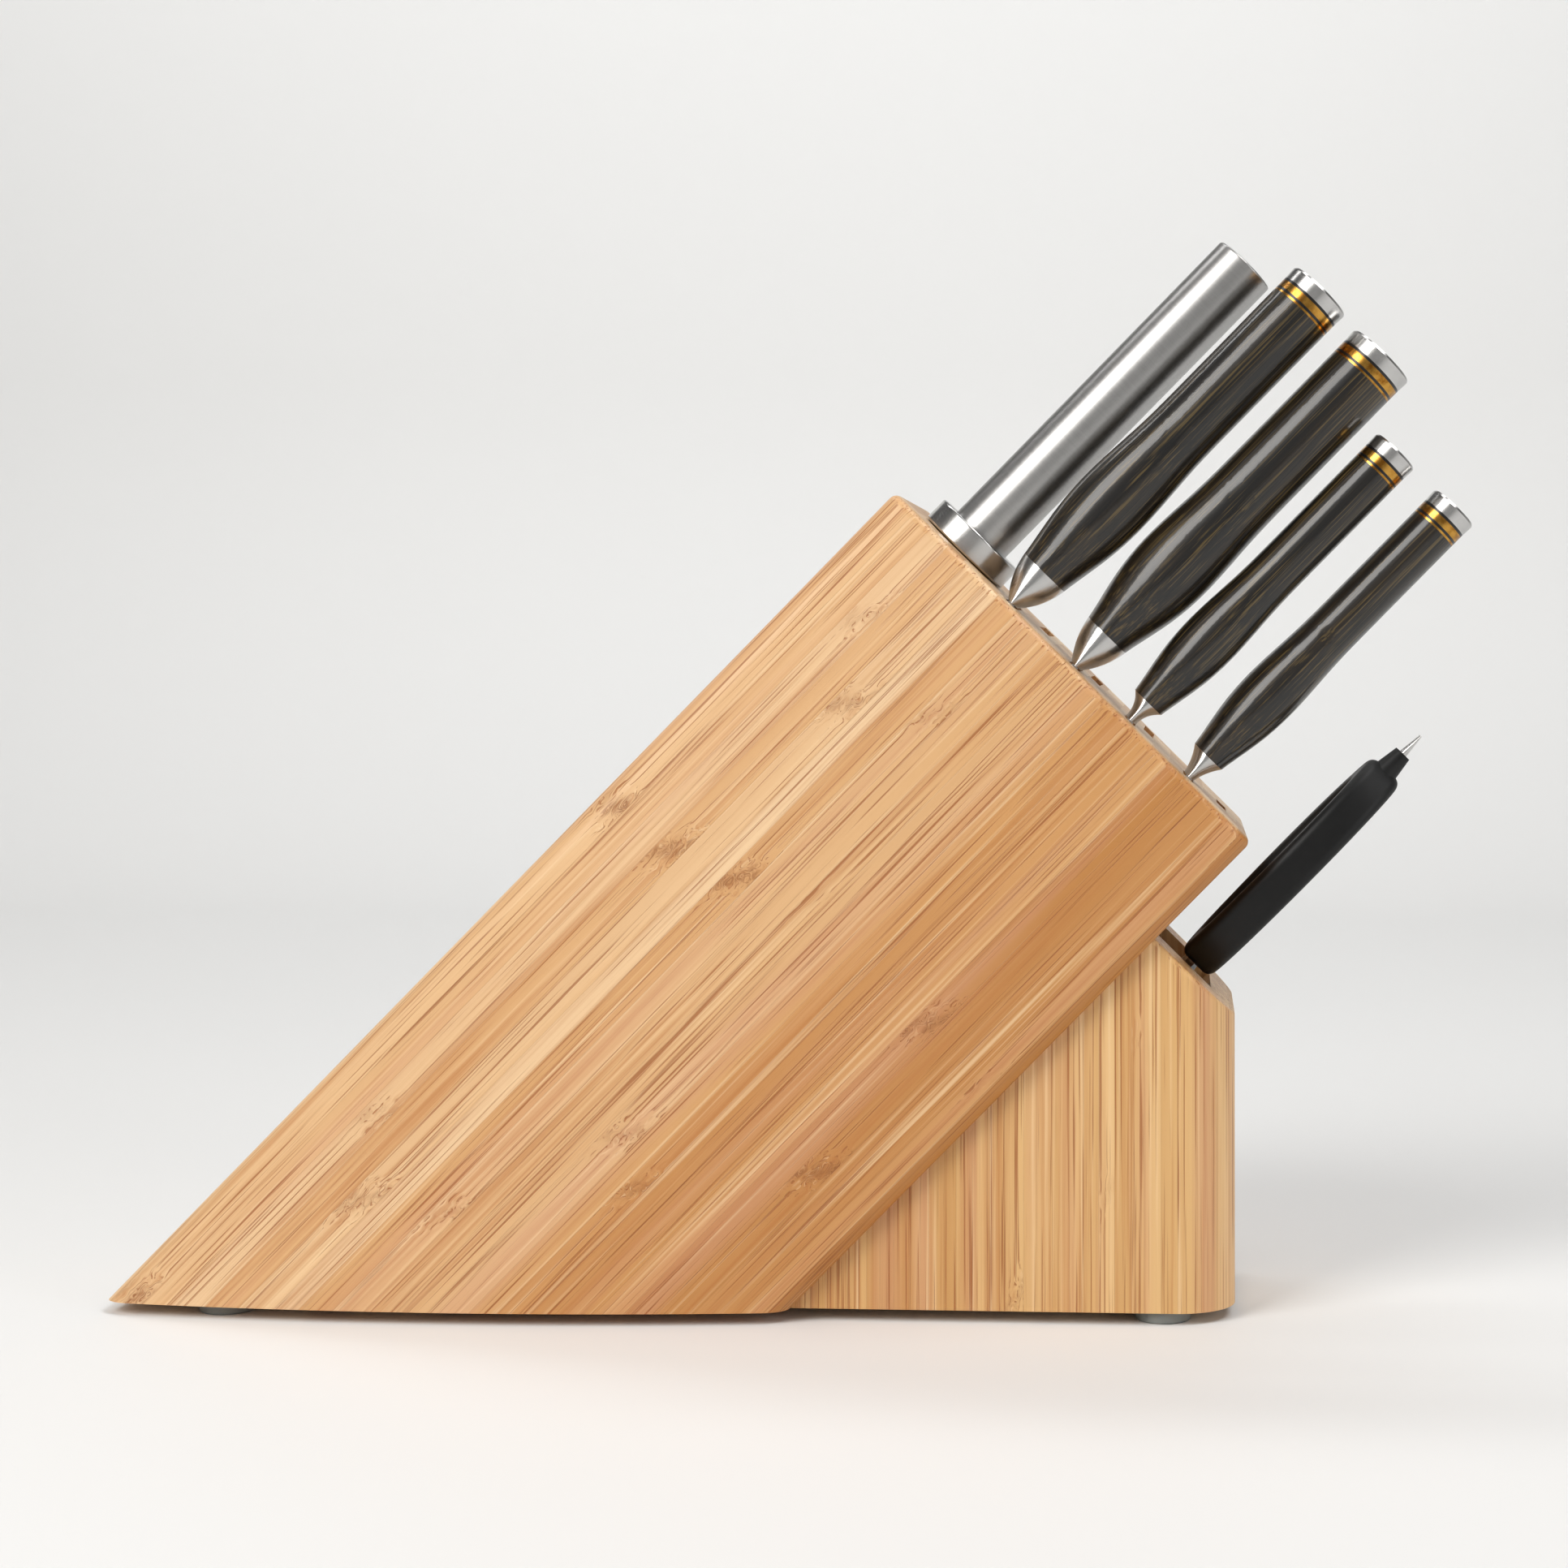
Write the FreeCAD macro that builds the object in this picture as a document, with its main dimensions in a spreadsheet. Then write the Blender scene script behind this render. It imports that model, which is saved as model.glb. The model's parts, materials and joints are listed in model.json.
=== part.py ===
import FreeCAD, Part
import math
import os
import re

from FreeCAD import Placement, Rotation, Vector

# Knife block with knives, in millimetres.
#
# The main block leans over its base. Most pieces are drawn in the leaning frame: x runs up along
# the tools' own axis, y goes across the block from its near side, and z rises from the base to the
# block's upper side. Its origin is the bottom of the base's front face. The table frame has the
# same origin, with x towards the front and z straight up. Every finished piece is then stood on
# the table, with the origin under the middle of the whole object.

SIZES = {
    # main block
    "lean": 45.5,
    "block_end": 114.3,
    "block_under": 105.0,
    "block_top": 269.0,
    "block_depth": 124.0,
    "block_reach": 400.0,
    "side_bow": 8.0,
    "long_edge_radius": 7.5,
    "end_edge_radius": 3.0,
    "spare_room": 6.0,
    # base under the main block
    "base_end": 69.0,
    "base_near": 15.0,
    "base_depth": 94.0,
    "base_reach": 160.0,
    "base_height": 130.0,
    "front_corner_radius": 20.0,
    "base_edge_radius": 2.0,
    "pocket_floor": 79.0,
    "pocket_near": 38.0,
    "pocket_width": 48.0,
    # feet, their screws, and the dowels between base and main block
    "foot_radius": 9.25,
    "foot_height": 4.0,
    "foot_edge_radius": 0.8,
    "foot_recess_radius": 4.4,
    "foot_recess": 2.2,
    "rear_foot_place": -338.0,
    "front_foot_place": -24.0,
    "rear_foot_inset": 18.0,
    "front_foot_inset": 26.0,
    "screw_radius": 1.6,
    "screw_length": 12.0,
    "screw_head_radius": 3.8,
    "screw_head_height": 1.7,
    "dowel_radius": 4.0,
    "dowel_half_length": 8.0,
    "dowel_inset": 11.5,
    "lower_dowel_place": -60.0,
    "upper_dowel_place": 30.0,
    # slots: level above the base frame, thickness, and both ends across the block
    "steel_level": 241.3,
    "steel_gap": 13.5,
    "steel_near": 38.25,
    "steel_far": 51.75,
    "chef_level": 216.0,
    "chef_gap": 4.5,
    "chef_near": 13.0,
    "chef_far": 57.0,
    "spare_one_level": 203.6,
    "spare_one_gap": 4.5,
    "spare_one_near": 62.0,
    "spare_one_far": 108.0,
    "bread_level": 186.5,
    "bread_gap": 4.5,
    "bread_near": 13.0,
    "bread_far": 50.0,
    "spare_two_level": 178.9,
    "spare_two_gap": 4.5,
    "spare_two_near": 62.0,
    "spare_two_far": 108.0,
    "utility_level": 161.0,
    "utility_gap": 4.5,
    "utility_near": 13.0,
    "utility_far": 44.0,
    "spare_three_level": 153.1,
    "spare_three_gap": 4.5,
    "spare_three_near": 62.0,
    "spare_three_far": 108.0,
    "paring_level": 134.0,
    "paring_gap": 4.5,
    "paring_near": 20.0,
    "paring_far": 46.0,
    "spare_four_level": 118.1,
    "spare_four_gap": 4.5,
    "spare_four_near": 50.0,
    "spare_four_far": 74.0,
    # knives: where the handle starts and ends, its widths, and the blade
    "stop_gap": 0.3,
    "chef_mid": 27.0,
    "chef_joint": 129.4,
    "chef_butt": 260.0,
    "chef_neck": 18.4,
    "chef_neck_tall": 24.0,
    "chef_swell": 26.0,
    "chef_swell_tall": 26.4,
    "chef_grip": 22.7,
    "chef_grip_tall": 24.6,
    "chef_blade": 205.0,
    "chef_spine": 15.0,
    "chef_height": 40.0,
    "chef_belly": 150.0,
    "bread_mid": 28.0,
    "bread_joint": 129.1,
    "bread_butt": 258.9,
    "bread_neck": 17.2,
    "bread_neck_tall": 23.0,
    "bread_swell": 27.2,
    "bread_swell_tall": 28.4,
    "bread_grip": 24.4,
    "bread_grip_tall": 26.4,
    "bread_blade": 205.0,
    "bread_spine": 15.0,
    "bread_height": 32.0,
    "bread_belly": 52.0,
    "utility_mid": 25.0,
    "utility_joint": 122.8,
    "utility_butt": 239.2,
    "utility_neck": 12.2,
    "utility_neck_tall": 17.6,
    "utility_swell": 19.4,
    "utility_swell_tall": 21.6,
    "utility_grip": 16.7,
    "utility_grip_tall": 19.4,
    "utility_blade": 130.0,
    "utility_spine": 15.0,
    "utility_height": 26.0,
    "utility_belly": 110.0,
    "paring_mid": 32.0,
    "paring_joint": 123.8,
    "paring_butt": 240.0,
    "paring_neck": 12.6,
    "paring_neck_tall": 17.6,
    "paring_swell": 19.6,
    "paring_swell_tall": 21.6,
    "paring_grip": 17.0,
    "paring_grip_tall": 19.4,
    "paring_blade": 92.0,
    "paring_spine": 22.0,
    "paring_height": 21.0,
    "paring_belly": 80.0,
    "bolster_tip": 4.4,
    "bolster_flare": 6.5,
    "bolster_flare_share": 0.72,
    "spine_thickness": 2.5,
    "edge_thickness": 0.4,
    "tang_height": 9.0,
    "tang_short_of_butt": 12.0,
    "cap_length": 4.8,
    "black_ring": 0.9,
    "brass_ring": 2.6,
    "brass_line": 0.7,
    "cap_bevel": 0.7,
    "cap_proud": 0.4,
    # honing steel
    "rod_radius": 5.0,
    "rod_length": 225.0,
    "rod_point": 7.0,
    "guard_radius": 17.4,
    "guard_length": 8.7,
    "guard_edge_radius": 0.8,
    "steel_across": 45.0,
    "steel_handle_radius": 11.35,
    "steel_butt": 251.0,
    "steel_plug": 3.0,
    # shears
    "shears_level": 88.0,
    "shears_across": 62.0,
    "shears_pivot": 52.0,
    "shears_leaf": 3.0,
    "shears_play": 0.15,
    "pivot_radius": 2.5,
    "pivot_fit": 0.05,
    "pivot_head_radius": 5.0,
    "pivot_head": 1.5,
    "nut_gap": 0.3,
    "grip_thickness": 13.4,
    "near_grip_drop": 0.0,
    "far_grip_drop": 2.9,
    "grip_offset": 21.0,
    "grip_edge_radius": 3.2,
    "loop_half_width": 18.0,
    "loop_wall": 12.0,
    "loop_side_wall": 7.5,
    "near_loop_centre": 116.5,
    "near_loop_half_length": 46.0,
    "far_loop_centre": 120.0,
    "far_loop_half_length": 39.0,
    "neck_sunk": 3.0,
    "driver_neck_end": 170.0,
    "driver_neck_root": 4.6,
    "driver_neck_tip": 3.0,
    "driver_end": 178.4,
    "driver_sunk": 5.0,
    "shank_shy": 1.0,
    "driver_root_tall": 4.2,
    "driver_root_thick": 4.0,
    "driver_width": 4.8,
    "driver_thickness": 1.0,
}

SLOTS = [
    "steel",
    "chef",
    "spare_one",
    "bread",
    "spare_two",
    "utility",
    "spare_three",
    "paring",
    "spare_four",
]
KNIVES = ["chef", "bread", "utility", "paring"]
# a handle is lofted through evenly spaced ovals, widest at SWELL_PEAK of its length
HANDLE_OVALS = 8
SWELL_PEAK = 0.28
SWELL_FADE = 0.155
# edges longer than this share of the bar run its whole length
MOST = 0.9
# how closely a measured edge must match the place or length it is looked for at
CLOSE = 0.05

# Outline of one shears leaf from its point round to its shank, as steps along and across from the
# pivot. The blade lies on the side of positive steps across, and the shank on the other.
LEAF_BLADE = [(-86, -1), (-86, 0.5), (-60, 8), (-30, 11), (0, 11), (8, 8), (13, 1), (20, -8)]
LEAF_HEEL = [(18, -22), (6, -12), (-4, -8), (-12, -4)]
SHANK_INNER = -15
SHANK_OUTER = -27

doc = FreeCAD.newDocument("knife_block")
sheet = doc.addObject("Spreadsheet::Sheet", "sizes")
for row, (alias, value) in enumerate(SIZES.items(), start=1):
    sheet.set(f"A{row}", alias)
    sheet.set(f"B{row}", str(value))
    sheet.setAlias(f"B{row}", alias)
doc.recompute()

pieces = {}


def cell(alias):
    """A driving dimension, read back from the sheet."""
    return float(sheet.get(alias))


def formula(text):
    """An expression for a property, with the sheet's names turned into references to its cells."""
    return re.sub(r"[a-z_]\w*", lambda m: f"sizes.{m[0]}" if m[0] in SIZES else m[0], str(text))


def bind(obj, **sizes):
    """Ties the named properties of an object to expressions over the sheet."""
    for name, text in sizes.items():
        obj.setExpression(name, formula(text))
    return obj


# How far the leaning frame is turned from the table frame, and how a piece is stood on the table
TILT = Placement(Vector(), Rotation(Vector(0, 1, 0), -cell("lean")))
LEAN = math.radians(cell("lean"))
REARMOST = -cell("block_top") / math.sin(LEAN)
FOREMOST = cell("paring_butt") * math.cos(LEAN) - (
    cell("paring_level") - cell("paring_grip") / 2
) * math.sin(LEAN)
STAND = Placement(
    Vector(-(REARMOST + FOREMOST) / 2, -cell("block_depth") / 2, cell("foot_height")), Rotation()
)
LEANING = STAND.multiply(TILT)

# Directions in the leaning frame that a round piece's own axis can point along
ALONG = {
    "x": Rotation(Vector(0, 1, 0), 90),
    "z": Rotation(),
}
# Turns a flat section so that it faces along x, with its long axis across the block
FACING_X = Rotation(Vector(1, 1, 1), 120)


def put(obj, at, turn=Rotation()):
    """Places an object with a fixed turn, and ties its position to the sheet."""
    obj.Placement = Placement(Vector(), turn)
    for axis, text in zip("xyz", at):
        obj.setExpression(f"Placement.Base.{axis}", formula(text))
    return obj


def box(name, length, width, height, at):
    obj = bind(doc.addObject("Part::Box", name), Length=length, Width=width, Height=height)
    return put(obj, at)


def cylinder(name, radius, height, at, along="x"):
    obj = bind(doc.addObject("Part::Cylinder", name), Radius=radius, Height=height)
    return put(obj, at, ALONG[along])


def cone(name, start, end, height, at):
    obj = bind(doc.addObject("Part::Cone", name), Radius1=start, Radius2=end, Height=height)
    return put(obj, at, ALONG["x"])


def common(name, base, tool):
    obj = doc.addObject("Part::Common", name)
    obj.Base, obj.Tool = base, tool
    return obj


def cut(name, base, tool):
    obj = doc.addObject("Part::Cut", name)
    obj.Base, obj.Tool = base, tool
    return obj


def fuse(name, *members):
    obj = doc.addObject("Part::MultiFuse", name)
    obj.Shapes = list(members)
    return obj


def group(name, members):
    """Separate solids that belong to one piece, such as four feet."""
    obj = doc.addObject("Part::Compound", name)
    obj.Links = members
    return obj


def fillet(name, base, radius, wanted):
    """Rounds those edges of a solid that pass the test."""
    doc.recompute()
    size = cell(radius)
    obj = doc.addObject("Part::Fillet", name)
    obj.Base = base
    edges = enumerate(base.Shape.Edges, start=1)
    obj.Edges = [(number, size, size) for number, edge in edges if wanted(edge)]
    return obj


def section(name, at, tall, thick):
    """An oval across the tool's axis."""
    obj = doc.addObject("Part::Ellipse", name)
    bind(obj, MajorRadius=f"({tall}) / 2", MinorRadius=f"({thick}) / 2")
    return put(obj, at, FACING_X)


def loft(name, sections, ruled=False):
    obj = doc.addObject("Part::Loft", name)
    obj.Sections, obj.Solid, obj.Ruled = sections, True, ruled
    return obj


def keep(obj, name, placement=LEANING):
    """Makes an object one of the finished pieces."""
    obj.Label = name
    obj.Placement = placement
    pieces[name] = obj
    return obj


def on_plane(edge, distance):
    """True for an edge that lies in one plane: distance gives a point's height above it."""
    return all(abs(distance(vertex.Point)) < CLOSE for vertex in edge.Vertexes)


def round_edges(radius):
    """A test for circular edges of one radius."""
    return lambda edge: abs(edge.Length - 2 * math.pi * radius) < CLOSE


def main_block_form():
    """The whole leaning block: a bar with bowed sides and rounded edges, cut off level."""
    middle = "(block_top + block_under) / 2"
    half = "((block_top - block_under) / 2)"
    bow_radius = f"(({half} ^ 2 + side_bow ^ 2) / (2 * side_bow))"
    start = "block_end - block_reach"
    bar = box(
        "block_bar", "block_reach", "block_depth", f"2 * {half}", (start, 0, "block_under")
    )
    near = cylinder("near_bow", bow_radius, "block_reach", (start, bow_radius, middle))
    far = cylinder(
        "far_bow", bow_radius, "block_reach", (start, f"block_depth - {bow_radius}", middle)
    )
    lens = doc.addObject("Part::MultiCommon", "bowed_bar")
    lens.Shapes = [bar, near, far]
    full_length = MOST * cell("block_reach")
    eased = fillet("eased_bar", lens, "long_edge_radius", lambda e: e.Length > full_length)
    end = cell("block_end")
    rounded = fillet(
        "rounded_bar", eased, "end_edge_radius", lambda e: on_plane(e, lambda p: p.x - end)
    )
    below = box(
        "below_foot_level", "2 * block_reach", "2 * block_depth", "block_reach",
        ("-1.5 * block_reach", "-0.5 * block_depth", "-block_reach"),
    )
    tilted = group("below_foot_level_tilted", [below])
    tilted.Placement = TILT.inverse()
    return cut("block_form", rounded, tilted)


def slab(name, low, high):
    """A slice of the leaning frame between two levels, wider and longer than the block."""
    return box(
        name,
        "block_reach + spare_room",
        "block_depth + 2 * spare_room",
        f"({high}) - ({low})",
        ("block_end - block_reach", "-spare_room", low),
    )


def main_block(form, screw_bores, dowel_bores):
    """Boards laid one on another, with a pair of spacers between them beside each slot."""
    upper = "block_top + spare_room"
    for number, slot in enumerate(SLOTS, start=1):
        low, high = f"{slot}_level - {slot}_gap / 2", f"{slot}_level + {slot}_gap / 2"
        board = common(f"board_{number}_cut", form, slab(f"board_{number}_slab", high, upper))
        layer = common(f"{slot}_layer", form, slab(f"{slot}_slab", low, high))
        mouth = box(
            f"{slot}_mouth",
            "block_reach + 2 * spare_room",
            f"{slot}_far - {slot}_near",
            f"{slot}_gap + 2 * spare_room",
            ("block_end - block_reach - spare_room", f"{slot}_near", f"{low} - spare_room"),
        )
        spacers = cut(f"{slot}_spacers_cut", layer, mouth)
        if slot == "steel":
            for piece, name in ((board, "block_board_1"), (spacers, "steel_slot_spacers")):
                piece.Placement = TILT
                keep(cut(f"{name}_bored", piece, screw_bores), name, STAND)
        else:
            keep(board, f"block_board_{number}")
            keep(spacers, f"{slot}_slot_spacers")
        upper = low
    last = len(SLOTS) + 1
    board = common("last_board_cut", form, slab("last_board_slab", "block_under", upper))
    keep(cut("last_board_bored", board, dowel_bores), f"block_board_{last}")


def base(screw_bores, dowel_bores):
    """Two cheeks and a core, with the shears' pocket between them under the main block."""
    bar = box(
        "base_bar",
        "base_reach",
        "base_depth",
        "base_height",
        ("-base_reach", "base_near", 0),
    )
    upright = MOST * cell("base_height")
    rounded = fillet(
        "base_rounded",
        bar,
        "front_corner_radius",
        lambda e: e.Length > upright and e.Length < cell("base_reach") and on_plane(e, lambda p: p.x)
        and abs(e.Vertexes[0].Y - e.Vertexes[1].Y) < 1,
    )
    below = box(
        "below_joint",
        "base_end + 2 * base_reach",
        "base_depth + 2 * spare_room",
        "block_under + base_reach",
        (0, 0, 0),
    )
    lean_box(below, -2 * cell("base_reach"), cell("base_near") - cell("spare_room"), -cell("base_reach"))
    form = common("base_form", rounded, below)
    back = TILT.inverse()
    end, under = cell("base_end"), cell("block_under")

    def top_edge(edge):
        on_top = on_plane(edge, lambda p: back.multVec(p).x - end)
        return on_top and not on_plane(edge, lambda p: back.multVec(p).z - under)

    eased = fillet("base_eased", form, "base_edge_radius", top_edge)
    both_bores = fuse("base_bores", screw_bores, lean_copy(dowel_bores))
    wall = "(pocket_near - base_near)"
    for name, start in (
        ("near_cheek", "pocket_near - 2 * " + wall),
        ("far_cheek", "pocket_near + pocket_width"),
    ):
        side = box(
            f"{name}_side", "2 * base_reach", f"2 * {wall}", "2 * base_height",
            ("-1.5 * base_reach", start, "-base_height / 2"),
        )
        cheek = common(f"{name}_cut", eased, side)
        keep(cut(f"{name}_bored", cheek, both_bores), f"base_{name}", STAND)
    inner = box(
        "core_space", "base_end + 3 * base_reach", "pocket_width", "pocket_floor + base_reach",
        (0, 0, 0),
    )
    lean_box(inner, -2 * cell("base_reach"), cell("pocket_near"), -cell("base_reach"))
    keep(common("base_core_cut", eased, inner), "base_core", STAND)


def lean_box(obj, x, y, z):
    """Stands a box of the leaning frame in the table frame."""
    for axis in "xyz":
        obj.setExpression(f"Placement.Base.{axis}", None)
    obj.Placement = TILT.multiply(Placement(Vector(x, y, z), Rotation()))


def lean_copy(obj):
    """The same bores as seen from the table frame."""
    copy = group(f"{obj.Name}_on_table", [obj])
    copy.Placement = TILT
    return copy


def foot_places():
    """The four feet: their names, and their positions under the block and the base."""
    for end, inset in (("rear", "rear_foot_inset"), ("front", "front_foot_inset")):
        for side, across in (("near", inset), ("far", f"block_depth - {inset}")):
            yield f"{end}_{side}", f"{end}_foot_place", across


def feet():
    """Rubber feet, each held by a screw in its recess. Returns the screws' bores in the wood."""
    rubbers, screws, bores = [], [], []
    rim, sole = round_edges(cell("foot_radius")), cell("foot_height")
    for name, x, y in foot_places():
        disc = cylinder(
            f"{name}_disc", "foot_radius", "foot_height", (x, y, "-foot_height"), "z"
        )
        eased = fillet(
            f"{name}_eased", disc, "foot_edge_radius",
            lambda e: rim(e) and on_plane(e, lambda p: p.z + sole),
        )
        recess = cylinder(
            f"{name}_recess", "foot_recess_radius", "foot_recess", (x, y, "-foot_height"), "z"
        )
        hole = cylinder(
            f"{name}_hole", "screw_radius", "foot_height", (x, y, "-foot_height"), "z"
        )
        rubbers.append(cut(f"{name}_foot", eased, fuse(f"{name}_through", recess, hole)))
        seat = "foot_recess - foot_height"
        head = cylinder(
            f"{name}_head", "screw_head_radius", "screw_head_height",
            (x, y, f"{seat} - screw_head_height"), "z",
        )
        length = "screw_length + foot_height - foot_recess"
        shank = cylinder(f"{name}_shank", "screw_radius", length, (x, y, seat), "z")
        screws.append(fuse(f"{name}_screw", head, shank))
        bores.append(
            cylinder(f"{name}_bore", "screw_radius", length, (x, y, seat), "z")
        )
    keep(group("feet_group", rubbers), "rubber_feet", STAND)
    keep(group("screws_group", screws), "foot_screws", STAND)
    return group("screw_bores", bores)


def dowels():
    """Beech dowels that pin the main block to the base. Returns their bores."""
    pins, bores = [], []
    for side, across in (
        ("near", "base_near + dowel_inset"),
        ("far", "base_near + base_depth - dowel_inset"),
    ):
        for place in ("lower", "upper"):
            at = (f"{place}_dowel_place", across, "block_under - dowel_half_length")
            for names, role in ((pins, "dowel"), (bores, "dowel_bore")):
                names.append(
                    cylinder(
                        f"{side}_{place}_{role}", "dowel_radius", "2 * dowel_half_length", at, "z"
                    )
                )
    keep(group("dowel_group", pins), "joint_dowels")
    return group("dowel_bores", bores)


def knife_blade(name, level, tang):
    """A blade that thins from its spine to its edge, with a curved belly, and its tang."""
    root = "block_end + stop_gap"
    point = f"({root} - {name}_blade)"
    edge = f"({name}_spine + {name}_height)"
    wedge = bind(
        doc.addObject("Part::Wedge", f"{name}_wedge"),
        Xmin=point, Xmax=root, X2min=point, X2max=root, Ymin=f"{name}_spine", Ymax=edge,
        Zmin=f"{level} - spine_thickness / 2", Zmax=f"{level} + spine_thickness / 2",
        Z2min=f"{level} - edge_thickness / 2", Z2max=f"{level} + edge_thickness / 2",
    )
    curve = f"sqrt(2 * {name}_belly * {name}_height - {name}_height ^ 2)"
    thick = "2 * spine_thickness"
    low = f"{level} - spine_thickness"
    round_end = cylinder(
        f"{name}_round", f"{name}_belly", thick,
        (f"{point} + {curve}", f"{edge} - {name}_belly", low), "z",
    )
    straight = box(
        f"{name}_straight", f"{name}_blade - {curve} + spare_room", f"{name}_height", thick,
        (f"{point} + {curve}", f"{name}_spine", low),
    )
    profile = fuse(f"{name}_profile", round_end, straight)
    blade = common(f"{name}_ground", wedge, profile)
    keep(fuse(f"{name}_steel", blade, tang), f"{name}_blade")


def rings(name, kind, stack, level):
    """Thin oval rings round the tang at the butt, each given by its start and its length."""
    tall, thick = f"{name}_grip_tall", f"{name}_grip"
    solids = []
    for number, (start, length) in enumerate(stack, start=1):
        ends = [
            section(f"{name}_{kind}_{number}_{at}", (x, f"{name}_mid", level), tall, thick)
            for at, x in (("start", start), ("end", f"{start} + {length}"))
        ]
        solids.append(loft(f"{name}_{kind}_{number}", ends, ruled=True))
    keep(group(f"{name}_{kind}_group", solids), f"{name}_{kind}")


def swelling(share):
    """How much of a handle's swelling is reached at a share of its length from the bolster."""
    if share < SWELL_PEAK:
        return round(math.sin(math.pi / 2 * share / SWELL_PEAK), 3)
    return round(math.exp(-(((share - SWELL_PEAK) / SWELL_FADE) ** 2)), 3)


def knife(name):
    """A blade with its tang, a bolster, a swelling handle, coloured rings and an end cap."""
    level, mid = f"{name}_level", f"{name}_mid"
    root, joint, butt = "(block_end + stop_gap)", f"{name}_joint", f"{name}_butt"
    cap_start = f"({butt} - cap_length)"
    handle_end = f"({cap_start} - 2 * black_ring - brass_ring - brass_line)"

    def oval(part, x, tall, thick):
        return section(f"{name}_{part}", (x, mid, level), tall, thick)

    def tang_space(use):
        return box(
            f"{name}_tang_{use}", f"{handle_end} - {root} - tang_short_of_butt", "tang_height",
            "spine_thickness", (root, f"{mid} - tang_height / 2", f"{level} - spine_thickness / 2"),
        )

    knife_blade(name, level, tang_space("core"))
    slot = tang_space("slot")
    neck, neck_tall = f"{name}_neck", f"{name}_neck_tall"
    bolster = loft(
        f"{name}_bolster_full",
        [
            oval("bolster_tip", root, neck_tall, "bolster_tip"),
            oval("bolster_flare", f"{root} + bolster_flare", neck_tall, f"bolster_flare_share * {neck}"),
            oval("bolster_neck", joint, neck_tall, neck),
        ],
    )
    keep(cut(f"{name}_bolster_cut", bolster, slot), f"{name}_bolster")

    ovals = []
    for step in range(HANDLE_OVALS + 1):
        share = step / HANDLE_OVALS
        end = "neck" if share < SWELL_PEAK else "grip"
        thick, tall = (
            f"{name}_{end}{kind} + {swelling(share)} * ({name}_swell{kind} - {name}_{end}{kind})"
            for kind in ("", "_tall")
        )
        x = f"{joint} + {share} * ({handle_end} - {joint})"
        ovals.append(oval(f"handle_{step}", x, tall, thick))
    handle = loft(f"{name}_handle_full", ovals)
    keep(cut(f"{name}_handle_cut", handle, slot), f"{name}_handle")

    first_black = f"{handle_end} + brass_line"
    brass = f"{first_black} + black_ring"
    rings(name, "brass_rings", [(handle_end, "brass_line"), (brass, "brass_ring")], level)
    blacks = [(first_black, "black_ring"), (f"{cap_start} - black_ring", "black_ring")]
    rings(name, "black_rings", blacks, level)
    cap = [
        oval("cap_start", cap_start, f"{name}_grip_tall", f"{name}_grip"),
        oval("cap_rim", f"{butt} - cap_bevel", f"{name}_grip_tall + cap_proud", f"{name}_grip + cap_proud"),
        oval("cap_face", butt, f"{name}_grip_tall - cap_bevel", f"{name}_grip - cap_bevel"),
    ]
    keep(loft(f"{name}_cap", cap, ruled=True), f"{name}_end_cap")


def honing_steel():
    """A round rod with a point, a guard, and a tubular handle closed by a plug."""
    across, level = "steel_across", "steel_level"
    root = "(block_end + stop_gap)"
    grip = f"({root} + guard_length)"
    plug = "(steel_butt - steel_plug)"
    tip = f"({root} - rod_length)"
    rod = cylinder("rod_round", "rod_radius", f"{plug} - {tip}", (tip, across, level))
    point = cone(
        "rod_cone", "rod_radius / 2", "rod_radius", "rod_point",
        (f"{tip} - rod_point", across, level),
    )
    keep(fuse("rod_whole", point, rod), "steel_rod")
    guard = cylinder("guard_disc", "guard_radius", "guard_length", (root, across, level))
    eased = fillet("guard_eased", guard, "guard_edge_radius", round_edges(cell("guard_radius")))
    length = f"{plug} - {root}"
    bores = [
        cylinder(f"{use}_bore", "rod_radius", length, (root, across, level))
        for use in ("guard", "handle")
    ]
    keep(cut("guard_bored", eased, bores[0]), "steel_guard")
    tube = cylinder(
        "handle_tube", "steel_handle_radius", f"{plug} - {grip}", (grip, across, level)
    )
    keep(cut("handle_bored", tube, bores[1]), "steel_handle")
    disc = cylinder(
        "plug_disc", "steel_handle_radius", "steel_plug", (plug, across, level)
    )
    butt = cell("steel_butt")
    keep(
        fillet(
            "plug_eased", disc, "guard_edge_radius",
            lambda e: on_plane(e, lambda p: p.x - butt),
        ),
        "steel_end_plug",
    )


def leaf_plate(side, reach, level, bore):
    """One flat steel leaf of the shears, with its pivot hole. side is 1, or -1 for its mirror."""
    outline = LEAF_BLADE + [(reach, SHANK_INNER), (reach, SHANK_OUTER)] + LEAF_HEEL
    pivot = Vector(cell("shears_pivot"), cell("shears_across"), level)
    corners = [pivot + Vector(x, side * y, 0) for x, y in outline]
    thick = Vector(0, 0, cell("shears_leaf"))
    plate = Part.Face(Part.makePolygon(corners + corners[:1])).extrude(thick)
    return plate.cut(Part.makeCylinder(bore, thick.z, pivot))


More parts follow.
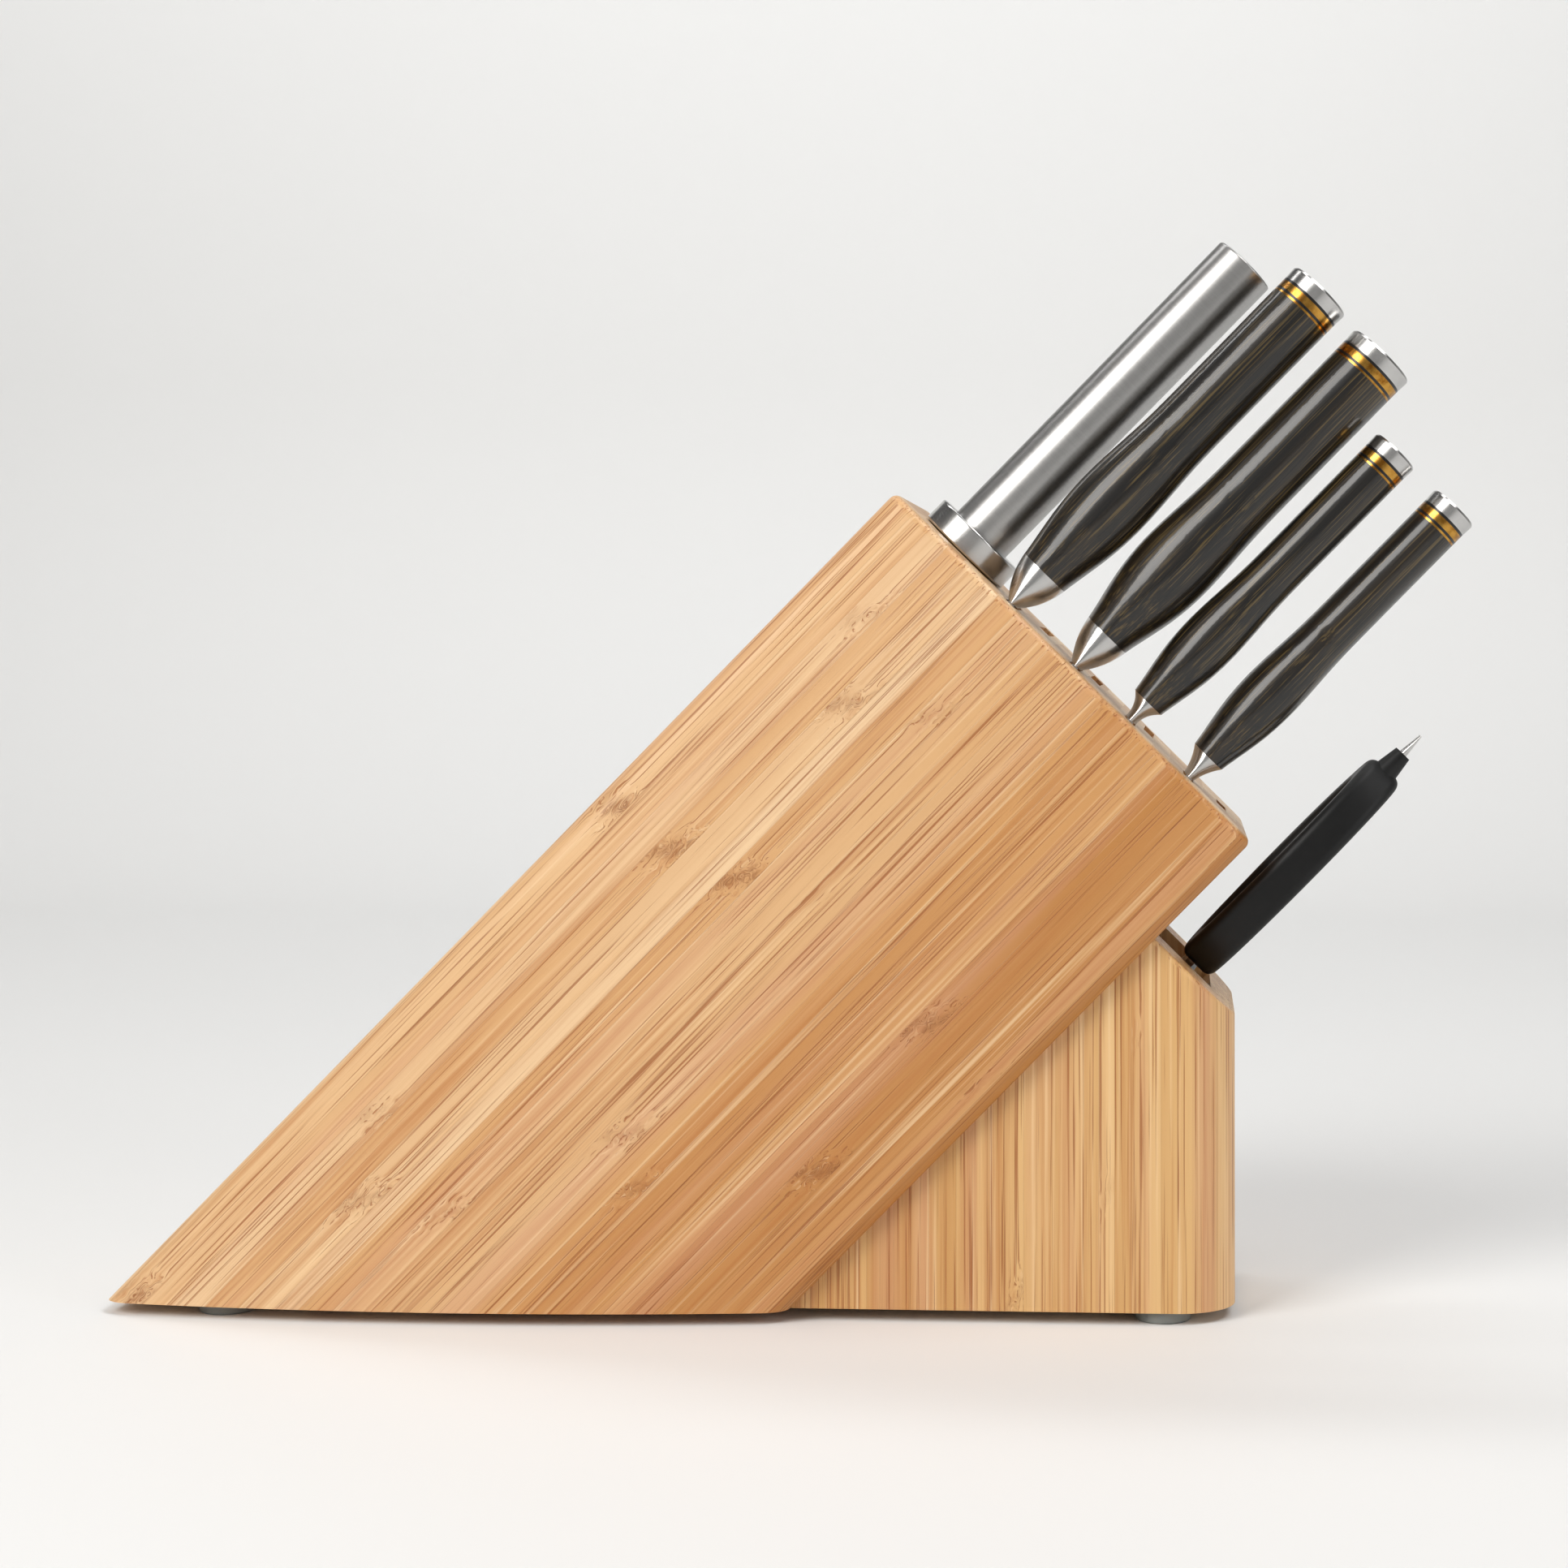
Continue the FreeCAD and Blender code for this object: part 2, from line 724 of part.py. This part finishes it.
def finger_loop(side, name):
    """A moulded loop with rounded edges. side is -1 for the near one and 1 for the far one."""
    across = f"shears_across + {side} * grip_offset"
    low = f"shears_level - grip_thickness / 2 - {name}_grip_drop"
    solids = {}
    for role, end_wall, side_wall in (("outer", "0", "0"), ("hole", "loop_wall", "loop_side_wall")):
        oval = bind(
            doc.addObject("Part::Ellipse", f"{name}_{role}_oval"),
            MajorRadius=f"{name}_loop_half_length - {end_wall}",
            MinorRadius=f"loop_half_width - {side_wall}",
        )
        put(oval, (f"{name}_loop_centre", across, low))
        solid = doc.addObject("Part::Extrusion", f"{name}_{role}")
        solid.Base, solid.DirMode, solid.Dir, solid.Solid = oval, "Custom", Vector(0, 0, 1), True
        solids[role] = bind(solid, LengthFwd="grip_thickness")
    ring = cut(f"{name}_ring", solids["outer"], solids["hole"])
    rim = cell("loop_half_width")
    return fillet(f"{name}_ring_eased", ring, "grip_edge_radius", lambda e: e.Length > rim)


def shears():
    """Two steel leaves on a pivot screw, each with a moulded finger loop."""
    level, play, leaf = cell("shears_level"), cell("shears_play"), cell("shears_leaf")
    near_reach = cell("near_loop_centre") - cell("near_loop_half_length") + cell("loop_wall")
    far_reach = cell("far_loop_centre") - cell("far_loop_half_length") + cell("loop_wall")
    pivot = cell("shears_pivot")
    leaves = {}
    for name, side, reach, low, bore in (
        ("near", 1, near_reach, level + play, cell("pivot_radius")),
        ("far", -1, far_reach, level - play - leaf, cell("pivot_radius") + cell("pivot_fit")),
    ):
        shape = leaf_plate(side, reach - pivot - cell("shank_shy"), low, bore)
        leaves[name] = doc.addObject("Part::Feature", f"{name}_leaf_core")
        leaves[name].Shape = shape
        kept = doc.addObject("Part::Feature", f"{name}_leaf")
        kept.Shape = shape
        keep(kept, f"shears_{name}_leaf")
    across = "shears_across"
    neck_root = "(near_loop_centre + near_loop_half_length - neck_sunk)"
    near_across = "shears_across - grip_offset"
    neck = cone(
        "driver_neck", "driver_neck_root", "driver_neck_tip", f"driver_neck_end - {neck_root}",
        (neck_root, near_across, "shears_level"),
    )
    blades = [
        loft(
            f"driver_{use}",
            [
                section(f"driver_{use}_{end}", (x, near_across, "shears_level"), tall, thick)
                for end, x, tall, thick in (
                    ("root", "driver_neck_end - driver_sunk", "driver_root_tall", "driver_root_thick"),
                    ("tip", "driver_end", "driver_width", "driver_thickness"),
                )
            ],
        )
        for use in ("bit", "socket")
    ]
    near_loop = fuse("near_loop_necked", finger_loop(-1, "near"), neck)
    cores = fuse("near_loop_cores", leaves["near"], blades[1])
    keep(cut("near_loop_cut", near_loop, cores), "shears_near_grip")
    keep(cut("far_loop_cut", finger_loop(1, "far"), leaves["far"]), "shears_far_grip")
    keep(group("driver_tip_group", [blades[0]]), "shears_driver_tip")

    at = ("shears_pivot", across)
    top = "(shears_level + shears_play + shears_leaf)"
    nut_top = "(shears_level - shears_play - shears_leaf - nut_gap)"
    head = cylinder("pivot_head_disc", "pivot_head_radius", "pivot_head", (*at, top), "z")
    shank_low = f"({nut_top} - pivot_head)"
    shank = cylinder("pivot_shank", "pivot_radius", f"{top} - {shank_low}", (*at, shank_low), "z")
    keep(fuse("pivot_whole", head, shank), "shears_pivot_screw")
    nut = cylinder("nut_disc", "pivot_head_radius", "pivot_head", (*at, shank_low), "z")
    hole = cylinder("nut_hole", "pivot_radius", "pivot_head", (*at, shank_low), "z")
    keep(cut("nut_bored", nut, hole), "shears_pivot_nut")


def check_document():
    """Stops if any object failed, or any finished piece is missing or not valid."""
    failed = [o.Name for o in doc.Objects if {"Invalid", "Error"} & set(o.State)]
    assert not failed, f"failed objects: {failed}"
    for name, obj in pieces.items():
        assert not obj.Shape.isNull(), f"{name} has no shape"
        assert obj.Shape.isValid(), f"{name} is not valid"
        assert obj.Shape.Solids, f"{name} has no solid"


def write_pieces():
    os.makedirs("parts", exist_ok=True)
    for name, obj in pieces.items():
        obj.Shape.exportStep(f"parts/{name}.step")


screw_bores = feet()
dowel_bores = dowels()
main_block(main_block_form(), screw_bores, dowel_bores)
base(screw_bores, dowel_bores)
for knife_name in KNIVES:
    knife(knife_name)
honing_steel()
shears()
doc.recompute()
check_document()
write_pieces()

whole = FreeCAD.BoundBox()
for obj in pieces.values():
    whole.add(obj.Shape.optimalBoundingBox())
print(len(pieces), "pieces,", whole)
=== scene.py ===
import json
import math

import bpy
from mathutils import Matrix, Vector


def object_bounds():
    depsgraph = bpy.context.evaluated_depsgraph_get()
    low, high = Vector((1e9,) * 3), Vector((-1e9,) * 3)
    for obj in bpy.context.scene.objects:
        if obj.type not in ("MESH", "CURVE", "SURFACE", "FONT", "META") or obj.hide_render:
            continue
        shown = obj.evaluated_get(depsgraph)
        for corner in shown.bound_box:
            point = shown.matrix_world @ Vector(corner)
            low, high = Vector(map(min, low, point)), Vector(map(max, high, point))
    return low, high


# Looks for the knife block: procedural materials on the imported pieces, a pale stage, soft light
# and the camera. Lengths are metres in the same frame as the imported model.

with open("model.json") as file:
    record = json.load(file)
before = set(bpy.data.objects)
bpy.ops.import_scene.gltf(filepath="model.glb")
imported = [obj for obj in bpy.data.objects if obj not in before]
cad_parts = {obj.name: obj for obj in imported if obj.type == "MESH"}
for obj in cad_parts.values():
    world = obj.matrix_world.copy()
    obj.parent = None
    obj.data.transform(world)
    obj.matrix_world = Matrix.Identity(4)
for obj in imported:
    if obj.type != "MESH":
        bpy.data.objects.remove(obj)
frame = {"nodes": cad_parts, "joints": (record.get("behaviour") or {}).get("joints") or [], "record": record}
cad_low, cad_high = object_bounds()
MM = 0.001

# The tools and the main block's grain lean along the direction in which the tools are drawn.
DRAW = Vector(frame["joints"][0]["axis"])
LEAN = math.atan2(DRAW.z, DRAW.x)
UPRIGHT = math.pi / 2
KNIVES = ("chef", "bread", "utility", "paring")
NODE_SPACING = 0.23  # between two growth nodes of a bamboo strip
END_LAYER = 0.021  # depth of one layer of strips on the sawn ends


def srgb(red, green, blue):
    """A colour given as it shows on a screen, from 0 to 255, in linear light."""
    return tuple((value / 255) ** 2.2 for value in (red, green, blue)) + (1.0,)


class Graph:
    """A short way to write the nodes of one material."""

    def __init__(self, name):
        self.material = bpy.data.materials.new(name)
        self.material.use_nodes = True
        self.tree = self.material.node_tree
        self.shader = self.tree.nodes["Principled BSDF"]

    def node(self, kind, **settings):
        made = self.tree.nodes.new(kind)
        for key, value in settings.items():
            setattr(made, key, value)
        return made

    def feed(self, socket, value):
        """Links a socket to another, or sets it to a plain value."""
        if isinstance(value, bpy.types.NodeSocket):
            self.tree.links.new(value, socket)
        else:
            socket.default_value = value

    def math(self, operation, *values):
        made = self.node("ShaderNodeMath", operation=operation)
        for socket, value in zip(made.inputs, values):
            self.feed(socket, value)
        return made.outputs[0]

    def ramp(self, value, low, high, start=0.0, end=1.0):
        """Turns low..high smoothly into start..end."""
        made = self.node("ShaderNodeMapRange", interpolation_type="SMOOTHSTEP")
        for socket, given in zip(made.inputs, (value, low, high, start, end)):
            self.feed(socket, given)
        return made.outputs[0]

    def mix(self, share, first, second):
        """Blends two colours."""
        made = self.node("ShaderNodeMix", data_type="RGBA")
        self.feed(made.inputs[0], share)
        self.feed(made.inputs[6], first)
        self.feed(made.inputs[7], second)
        return made.outputs[2]

    def colours(self, value, stops):
        """A colour band: stops are (place, colour)."""
        made = self.node("ShaderNodeValToRGB")
        band = made.color_ramp.elements
        for place, colour in stops[2:]:
            band.new(place)
        for element, (place, colour) in zip(band, stops):
            element.position, element.color = place, colour
        self.feed(made.inputs[0], value)
        return made.outputs[0]

    def grain_space(self, angle):
        """The piece's own coordinates, turned so that x runs along the grain."""
        place = self.node("ShaderNodeTexCoord").outputs["Object"]
        turned = self.node("ShaderNodeMapping", vector_type="POINT")
        self.feed(turned.inputs[0], place)
        turned.inputs["Rotation"].default_value = (0, angle, 0)
        return turned.outputs[0]

    def tint(self, colour, share, strength, over):
        """Lays another colour over this one, as strongly as share times strength."""
        return self.mix(self.math("MULTIPLY", share, strength), colour, over)

    def split(self, vector):
        made = self.node("ShaderNodeSeparateXYZ")
        self.feed(made.inputs[0], vector)
        return made.outputs

    def join(self, *values):
        made = self.node("ShaderNodeCombineXYZ")
        for socket, value in zip(made.inputs, values):
            self.feed(socket, value)
        return made.outputs[0]

    def scaled(self, vector, stretch):
        made = self.node("ShaderNodeVectorMath", operation="MULTIPLY")
        self.feed(made.inputs[0], vector)
        made.inputs[1].default_value = stretch
        return made.outputs[0]

    def noise(self, vector, stretch, detail=3.0, rough=0.5):
        """Noise with its own frequency, in waves a metre, along each axis."""
        made = self.node("ShaderNodeTexNoise")
        self.feed(made.inputs["Vector"], self.scaled(vector, stretch))
        made.inputs["Scale"].default_value = 1.0
        made.inputs["Detail"].default_value = detail
        made.inputs["Roughness"].default_value = rough
        return made.outputs[0]

    def random(self, *values):
        """One random number for each cell."""
        made = self.node("ShaderNodeTexWhiteNoise", noise_dimensions="3D")
        self.feed(made.inputs["Vector"], self.join(*values))
        return made.outputs["Value"]

    def finish(self, colour, roughness, metallic=0.0, bump=None, depth=0.0, **fixed):
        self.feed(self.shader.inputs["Base Color"], colour)
        self.feed(self.shader.inputs["Roughness"], roughness)
        self.shader.inputs["Metallic"].default_value = metallic
        for socket, value in fixed.items():
            self.shader.inputs[socket.replace("_", " ")].default_value = value
        if bump is not None:
            made = self.node("ShaderNodeBump")
            made.inputs["Distance"].default_value = depth
            self.feed(made.inputs["Height"], bump)
            self.tree.links.new(made.outputs[0], self.shader.inputs["Normal"])
        return self.material


def bamboo(name, angle, strip, layer, tones, knots, seed, painted_lit_at, painted_shaded_at):
    """Glued bamboo: strips side by side, each with its own tone, fibres and growth nodes.

    angle is the grain's lean, strip and layer are a strip's width and depth, and knots is the
    share of strips with visible growth nodes. The last two arguments, places across the grain,
    set a painted light falloff: the colour is painted paler, as if lit, near the first and
    darker and warmer, as if in shade, near the second.
    """
    g = Graph(name)
    space = g.grain_space(angle)
    along, across, up = g.split(space)[0:3]
    within, tone, phase, chance = strips(g, across, up, strip, layer, seed)

    cloud = g.noise(space, (5, 30, 30), detail=2.0)
    # painted light falloff across the grain: paler, as if lit, at one side and darker, as if in shade, at
    # the other
    painted_falloff = g.math("MULTIPLY", g.ramp(up, painted_shaded_at, painted_lit_at, 1.0, 0.0), 0.42)
    shade = g.math("ADD", g.math("MULTIPLY", tone, 0.38), g.math("MULTIPLY", cloud, 0.30))
    colour = g.colours(g.math("ADD", shade, painted_falloff), tones)

    # each strip is denser, and so darker, towards the bamboo's outer side
    colour = g.tint(colour, g.ramp(within, 0.25, 1.0, 0.0, 1.0), 0.14, srgb(176, 118, 66))

    near_node, mark = growth_nodes(g, space, along, within, phase, chance, knots)
    swirl = g.noise(space, (150, 260, 260), detail=1.0)
    most_bend = 0.020
    bend = g.math("MULTIPLY", near_node, most_bend)
    bend = g.math("MULTIPLY", g.math("SUBTRACT", swirl, 0.5), bend)
    fibres = g.join(along, g.math("ADD", across, bend), g.math("ADD", up, bend))

    # long soft streaks, pale ones between them, then short dark fibre bundles
    streak = g.noise(fibres, (4, 330, 330), detail=5.0, rough=0.62)
    colour = g.mix(g.ramp(streak, 0.46, 0.72, 0.0, 0.66), colour, srgb(178, 112, 58))
    blush = g.noise(space, (3, 90, 90), detail=2.0)
    colour = g.mix(g.ramp(blush, 0.46, 0.72, 0.0, 0.45), colour, srgb(206, 152, 118))
    light = g.noise(fibres, (5, 560, 560), detail=3.0)
    colour = g.mix(g.ramp(light, 0.54, 0.76, 0.0, 0.55), colour, srgb(242, 210, 164))
    bundle = g.noise(fibres, (13, 1350, 1350), detail=2.0)
    dashes = g.ramp(bundle, 0.55, 0.70, 0.0, 0.75)
    colour = g.mix(dashes, colour, srgb(150, 84, 36))

    flecks = g.ramp(g.noise(fibres, (130, 900, 900), detail=3.0), 0.38, 0.58, 0.2, 1.0)
    colour = g.tint(colour, near_node, 0.16, srgb(176, 116, 66))
    colour = g.tint(colour, g.math("MULTIPLY", mark, flecks), 0.62, srgb(142, 86, 44))

    glue = seams(g, within, 0.03)
    colour = g.tint(colour, glue, 0.16, srgb(140, 90, 50))

    # where the surface cuts across the grain
    facing = g.node("ShaderNodeVectorMath", operation="DOT_PRODUCT")
    g.feed(facing.inputs[0], g.node("ShaderNodeTexCoord").outputs["Normal"])
    facing.inputs[1].default_value = (math.cos(angle), 0, math.sin(angle))
    cut = g.ramp(g.math("ABSOLUTE", facing.outputs["Value"]), 0.72, 0.97)
    colour = g.mix(cut, colour, end_grain(g, space, across, up, strip))

    rough = g.math("ADD", 0.36, g.math("MULTIPLY", streak, 0.16))
    height = g.math("SUBTRACT", streak, g.math("ADD", dashes, g.math("MULTIPLY", glue, 0.5)))
    return g.finish(colour, rough, bump=height, depth=0.12 * MM, Specular_IOR_Level=0.42,
                    Coat_Weight=0.10, Coat_Roughness=0.30)


def strips(g, across, up, strip, layer, seed):
    """Strips of uneven width, with deeper layers behind them.

    Gives the place within a strip from 0 to 1, and each strip's own random tone, the phase of
    its growth nodes and the chance that they show.
    """
    unevenness = 2.2
    drift = g.noise(g.join(0.0, seed, up), (1, 1, 45), detail=1.0)
    place = g.math("ADD", g.math("DIVIDE", up, strip), g.math("MULTIPLY", drift, unevenness))
    column = g.math("FLOOR", place)
    row = g.math("FLOOR", g.math("ADD", g.math("DIVIDE", across, layer), seed + 0.37))
    draws = [g.random(column, row, seed + step) for step in (0, 3.1, 7.7)]
    return g.math("FRACT", place), *draws


def growth_nodes(g, space, along, within, phase, chance, knots):
    """Short ragged marks across a strip. Gives how near a node is, and the mark itself."""
    slope, raggedness = 0.010, 0.012
    ragged = g.noise(space, (60, 500, 500), detail=3.0)
    slant = g.math("MULTIPLY", g.math("SUBTRACT", within, 0.5), slope)
    spot = g.math("ADD", g.math("ADD", along, slant), g.math("MULTIPLY", ragged, raggedness))
    turn = g.math("FRACT", g.math("ADD", g.math("DIVIDE", spot, NODE_SPACING), phase))
    off = g.math("ABSOLUTE", g.math("SUBTRACT", turn, 0.5))
    picked = g.ramp(chance, 1.0 - knots, 1.0, 0.0, 1.0)
    near_node = g.math("MULTIPLY", g.ramp(off, 0.0, 0.06, 1.0, 0.0), picked)
    mark = g.math("MULTIPLY", g.ramp(off, 0.004, 0.026, 1.0, 0.0), picked)
    return near_node, mark


def seams(g, within, width):
    """The glue lines between cells: 1 on a line and 0 away from it."""
    edge = g.math("MINIMUM", within, g.math("SUBTRACT", 1.0, within))
    return g.ramp(edge, 0.0, width, 1.0, 0.0)


def end_grain(g, space, across, up, strip):
    """The sawn end of the strips: pale, with the cut ends of the fibre bundles as dots."""
    place = g.math("DIVIDE", across, END_LAYER)
    column = g.math("FLOOR", g.math("DIVIDE", up, strip))
    tone = g.random(column, g.math("FLOOR", place), 2.0)
    colour = g.colours(tone, [(0.0, srgb(188, 146, 102)), (0.55, srgb(208, 170, 128)),
                              (1.0, srgb(222, 190, 150))])
    cells = g.node("ShaderNodeTexVoronoi")
    g.feed(cells.inputs["Vector"], g.scaled(space, (12, 900, 900)))
    cells.inputs["Scale"].default_value = 1.0
    dots = g.ramp(cells.outputs["Distance"], 0.12, 0.42, 1.0, 0.0)
    colour = g.tint(colour, dots, 0.5, srgb(146, 92, 50))
    return g.tint(colour, seams(g, g.math("FRACT", place), 0.02), 0.5, srgb(130, 84, 48))


def dark_wood(name):
    """Lacquered black-brown laminated wood with fine gold-brown lines along the handle."""
    g = Graph(name)
    space = g.grain_space(LEAN)
    broad = g.noise(space, (9, 240, 240), detail=3.0)
    colour = g.mix(g.ramp(broad, 0.35, 0.70), srgb(20, 18, 16), srgb(40, 33, 25))
    veins = g.noise(space, (20, 1300, 1300), detail=3.0, rough=0.6)
    colour = g.mix(g.ramp(veins, 0.50, 0.68, 0.0, 0.62), colour, srgb(104, 86, 50))
    pores = g.noise(space, (45, 2400, 2400), detail=1.0)
    colour = g.mix(g.ramp(pores, 0.56, 0.70, 0.0, 0.85), colour, srgb(12, 10, 9))
    rough = g.math("ADD", 0.30, g.math("MULTIPLY", veins, 0.14))
    return g.finish(colour, rough, bump=pores, depth=0.01 * MM, Specular_IOR_Level=0.35,
                    Coat_Weight=0.55, Coat_Roughness=0.10)


def steel(name, shade, roughness, scratches, depth):
    """Bright steel with fine scratches: their frequency is given along the tool and across it."""
    tint, dip = (1.0, 0.985, 0.965), 0.93
    g = Graph(name)
    space = g.grain_space(LEAN)
    lines = g.noise(space, scratches, detail=4.0, rough=0.65)
    low = tuple(shade * dip * part for part in tint) + (1.0,)
    high = tuple(shade * part for part in tint) + (1.0,)
    colour = g.mix(g.ramp(lines, 0.3, 0.7), low, high)
    rough = g.math("ADD", roughness, g.math("MULTIPLY", lines, roughness * 0.5))
    return g.finish(colour, rough, metallic=1.0, bump=lines, depth=depth)


def brass(name):
    g = Graph(name)
    space = g.grain_space(LEAN)
    tarnish = g.noise(space, (300, 300, 300), detail=3.0)
    colour = g.mix(g.ramp(tarnish, 0.35, 0.7), srgb(196, 148, 72), srgb(140, 92, 36))
    return g.finish(colour, g.math("ADD", 0.16, g.math("MULTIPLY", tarnish, 0.18)), metallic=1.0)


def moulded(name, colour, roughness, grain, depth, **fixed):
    """Moulded plastic or rubber with a fine skin texture, worn a little lighter in places."""
    g = Graph(name)
    space = g.grain_space(LEAN)
    skin = g.noise(space, (grain, grain, grain), detail=2.0)
    wear = g.noise(space, (70, 70, 70), detail=3.0)
    wear_gain, wear_lift = 1.5, 0.004
    lighter = tuple(part * wear_gain + wear_lift for part in colour[:3]) + (1.0,)
    shade = g.mix(g.ramp(wear, 0.4, 0.75, 0.0, 0.7), colour, lighter)
    rough = g.math("ADD", roughness, g.math("MULTIPLY", wear, 0.12))
    return g.finish(shade, rough, bump=skin, depth=depth, **fixed)


def dowel_wood(name):
    g = Graph(name)
    space = g.grain_space(LEAN)
    fibres = g.noise(space, (20, 700, 700), detail=3.0)
    colour = g.mix(g.ramp(fibres, 0.35, 0.7), srgb(222, 190, 146), srgb(186, 146, 100))
    return g.finish(colour, 0.6, bump=fibres, depth=0.05 * MM)


WARM_TONES = [
    (0.12, srgb(234, 201, 160)),
    (0.36, srgb(222, 180, 132)),
    (0.62, srgb(204, 150, 94)),
    (0.92, srgb(182, 122, 62)),
]
PALE_TONES = [
    (0.12, srgb(232, 192, 138)),
    (0.45, srgb(216, 172, 114)),
    (0.90, srgb(194, 142, 82)),
]


def dress(node, material):
    """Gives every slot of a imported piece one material."""
    mesh = frame["nodes"][node].data
    if not mesh.materials:
        mesh.materials.append(material)
    for index in range(len(mesh.materials)):
        mesh.materials[index] = material


def dress_block():
    board = bamboo("bamboo_lengthways", LEAN, strip=0.0078, layer=0.040, tones=WARM_TONES,
                   knots=0.55, seed=1.0, painted_lit_at=0.16, painted_shaded_at=0.0)
    base = bamboo("bamboo_upright", UPRIGHT, strip=0.0052, layer=0.030, tones=PALE_TONES,
                  knots=0.35, seed=5.0, painted_lit_at=-0.15, painted_shaded_at=0.02)
    for node in frame["record"]["behaviour"]["bodies"]["block"]:
        if node.startswith("base_"):
            dress(node, base)
        elif node.startswith("block_board") or node.endswith("_slot_spacers"):
            dress(node, board)
    dress("joint_dowels", dowel_wood("dowel_beech"))
    dress("foot_screws", steel("zinc_screw", 0.55, 0.35, (400, 400, 400), 0.01 * MM))
    rubber = moulded("foot_rubber_grey", srgb(122, 122, 118), 0.48, 900, 0.02 * MM,
                     Subsurface_Weight=0.15)
    dress("rubber_feet", rubber)


def dress_tools():
    crosswise = steel("steel_brushed_crosswise", 0.46, 0.27, (1600, 30, 30), 0.0001 * MM)
    polished = steel("steel_polished", 0.56, 0.19, (300, 300, 300), 0.0002 * MM)
    ribbed = steel("steel_ribbed_rod", 0.60, 0.26, (20, 1600, 1600), 0.05 * MM)
    ground = steel("steel_ground_blade", 0.68, 0.24, (1500, 1500, 60), 0.01 * MM)
    wood = dark_wood("handle_dark_wood")
    gold = brass("brass_ring")
    black = moulded("black_ring", srgb(16, 15, 15), 0.22, 500, 0.005 * MM)
    grip = moulded("shears_black_grip", srgb(16, 16, 16), 0.42, 1400, 0.03 * MM,
                   Specular_IOR_Level=0.3)
    looks = {"steel_rod": ribbed, "steel_guard": polished, "steel_handle": crosswise,
             "steel_end_plug": crosswise, "shears_near_leaf": ground, "shears_far_leaf": ground,
             "shears_near_grip": grip, "shears_far_grip": grip, "shears_driver_tip": polished,
             "shears_pivot_screw": polished, "shears_pivot_nut": polished}
    knife = {"blade": ground, "bolster": polished, "handle": wood, "brass_rings": gold,
             "black_rings": black, "end_cap": polished}
    for name in KNIVES:
        looks.update({f"{name}_{part}": look for part, look in knife.items()})
    for node, look in looks.items():
        dress(node, look)


def stage():
    """A pale floor that curves up into a pale wall behind the object."""
    wide, front, wall, curve, height = 7.0, -4.0, 1.9, 0.5, 1.35
    profile = [(front, 0.0)]
    steps = 16
    for step in range(steps + 1):
        turn = math.pi / 2 * step / steps
        profile.append((wall - curve + curve * math.sin(turn), curve - curve * math.cos(turn)))
    profile.append((wall, height))
    points = [(side * wide / 2, y, z) for y, z in profile for side in (-1, 1)]
    faces = [(2 * i, 2 * i + 1, 2 * i + 3, 2 * i + 2) for i in range(len(profile) - 1)]
    mesh = bpy.data.meshes.new("stage")
    mesh.from_pydata(points, [], faces)
    for face in mesh.polygons:
        face.use_smooth = True
    g = Graph("stage_pale")
    mesh.materials.append(g.finish(srgb(230, 230, 229), 0.7))
    floor = bpy.data.objects.new("stage", mesh)
    bpy.context.scene.collection.objects.link(floor)


def softbox(name, place, aim, size, power, colour=(1.0, 1.0, 1.0)):
    light = bpy.data.lights.new(name, "AREA")
    light.shape = "RECTANGLE"
    light.size, light.size_y = size
    light.energy = power
    light.color = colour
    made = bpy.data.objects.new(name, light)
    bpy.context.scene.collection.objects.link(made)
    made.location = place
    made.rotation_euler = (Vector(aim) - Vector(place)).to_track_quat("-Z", "Y").to_euler()


def lights():
    middle = (cad_low + cad_high) / 2
    softbox("key", (-0.95, -1.3, 1.3), middle, (0.9, 1.3), 28.5, (1.0, 0.985, 0.96))
    softbox("fill", (1.7, -1.0, 0.5), middle, (0.4, 1.3), 8)
    softbox("top", (0.95, -0.35, 1.75), middle, (0.9, 0.9), 16)
    softbox("wall_wash", (-0.4, 0.9, 2.4), (-0.4, 1.9, 0.45), (2.6, 0.5), 26)
    room()


def room():
    """The studio around the stage: pale near the horizon and dim overhead."""
    world = bpy.data.worlds.new("studio")
    bpy.context.scene.world = world
    world.use_nodes = True
    nodes, links = world.node_tree.nodes, world.node_tree.links
    place = nodes.new("ShaderNodeTexCoord")
    parts = nodes.new("ShaderNodeSeparateXYZ")
    fade = nodes.new("ShaderNodeMapRange")
    horizon, overhead = 0.42, 0.10
    fade.interpolation_type = "SMOOTHSTEP"
    fade_starts, fade_ends = 0.12, 0.50
    for socket, value in zip(fade.inputs[1:5], (fade_starts, fade_ends, horizon, overhead)):
        socket.default_value = value
    links.new(place.outputs["Generated"], parts.inputs[0])
    links.new(parts.outputs["Z"], fade.inputs[0])
    links.new(fade.outputs[0], nodes["Background"].inputs["Strength"])
    nodes["Background"].inputs["Color"].default_value = (1.0, 0.99, 0.98, 1.0)


def camera():
    """Stands level with the upper slots, almost square to the long side."""
    data = bpy.data.cameras.new("camera")
    data.sensor_width = 36.0
    data.lens = 65.63
    data.shift_x, data.shift_y = -0.13, -0.099
    made = bpy.data.objects.new("camera", data)
    bpy.context.scene.collection.objects.link(made)
    made.location = (0.1309, -0.9882, 0.2217)
    pan_left, tilt_up = 3.84, 0.43
    made.rotation_euler = (math.radians(90 + tilt_up), 0, math.radians(pan_left))
    bpy.context.scene.camera = made


camera()
dress_block()
dress_tools()
stage()
lights()
bpy.context.scene.view_settings.view_transform = "Standard"
